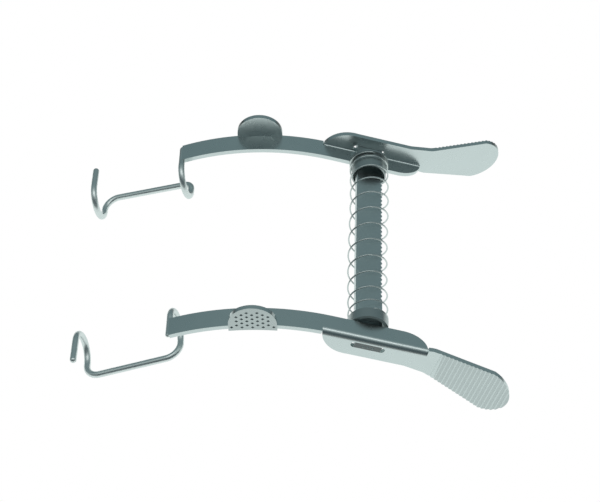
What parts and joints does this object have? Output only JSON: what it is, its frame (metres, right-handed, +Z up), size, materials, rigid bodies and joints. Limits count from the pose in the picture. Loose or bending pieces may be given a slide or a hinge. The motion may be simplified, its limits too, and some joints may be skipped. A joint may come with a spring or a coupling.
{
  "type": "self retaining retractor",
  "caption": "Spring-opened sliding retractor: two bowed arms with wire hook blades on a toothed rack bar, finger lobes and grooved handles.",
  "frame": {"origin": "middle of the bounding box at the surface that the retractor lies on, arms fully open", "axes": "+X towards the handles, +Y along the rack bar from the fixed arm to the sliding arm, +Z up from the table"},
  "size_m": [0.1372, 0.106, 0.0444],
  "materials": {
    "satin_steel": "satin stainless steel, bead blasted",
    "wire_steel": "fine polished stainless wire",
    "bar_steel": "satin stainless steel, drawn along the bar",
    "spring_steel": "bright spring wire"
  },
  "bodies": {
    "frame": {"near_arm": "satin_steel", "near_blade_wire": "wire_steel", "rack_bar": "bar_steel", "stop_pin": "bar_steel", "near_spring_cup": "satin_steel", "spring": "spring_steel"},
    "carriage": {"far_spring_guide": "satin_steel"},
    "far_arm": {"far_arm": "satin_steel", "far_blade_wire": "wire_steel"}
  },
  "joints": [
    {"name": "arm_slide", "type": "slide", "parent": "frame", "child": "carriage", "axis": [0, -1, 0], "range_m": [0, 0.0491], "stiffness_N_per_m": 60, "springref_m": -0.03, "deforming": ["spring"]},
    {"name": "arm_rock", "type": "hinge", "parent": "carriage", "child": "far_arm", "pos_m": [0.02447, 0.04285, 0.02684], "axis": [0.2756, 0, 0.9613], "range_deg": [-3, 3], "stiffness_Nm_per_rad": 0.3}
  ]
}
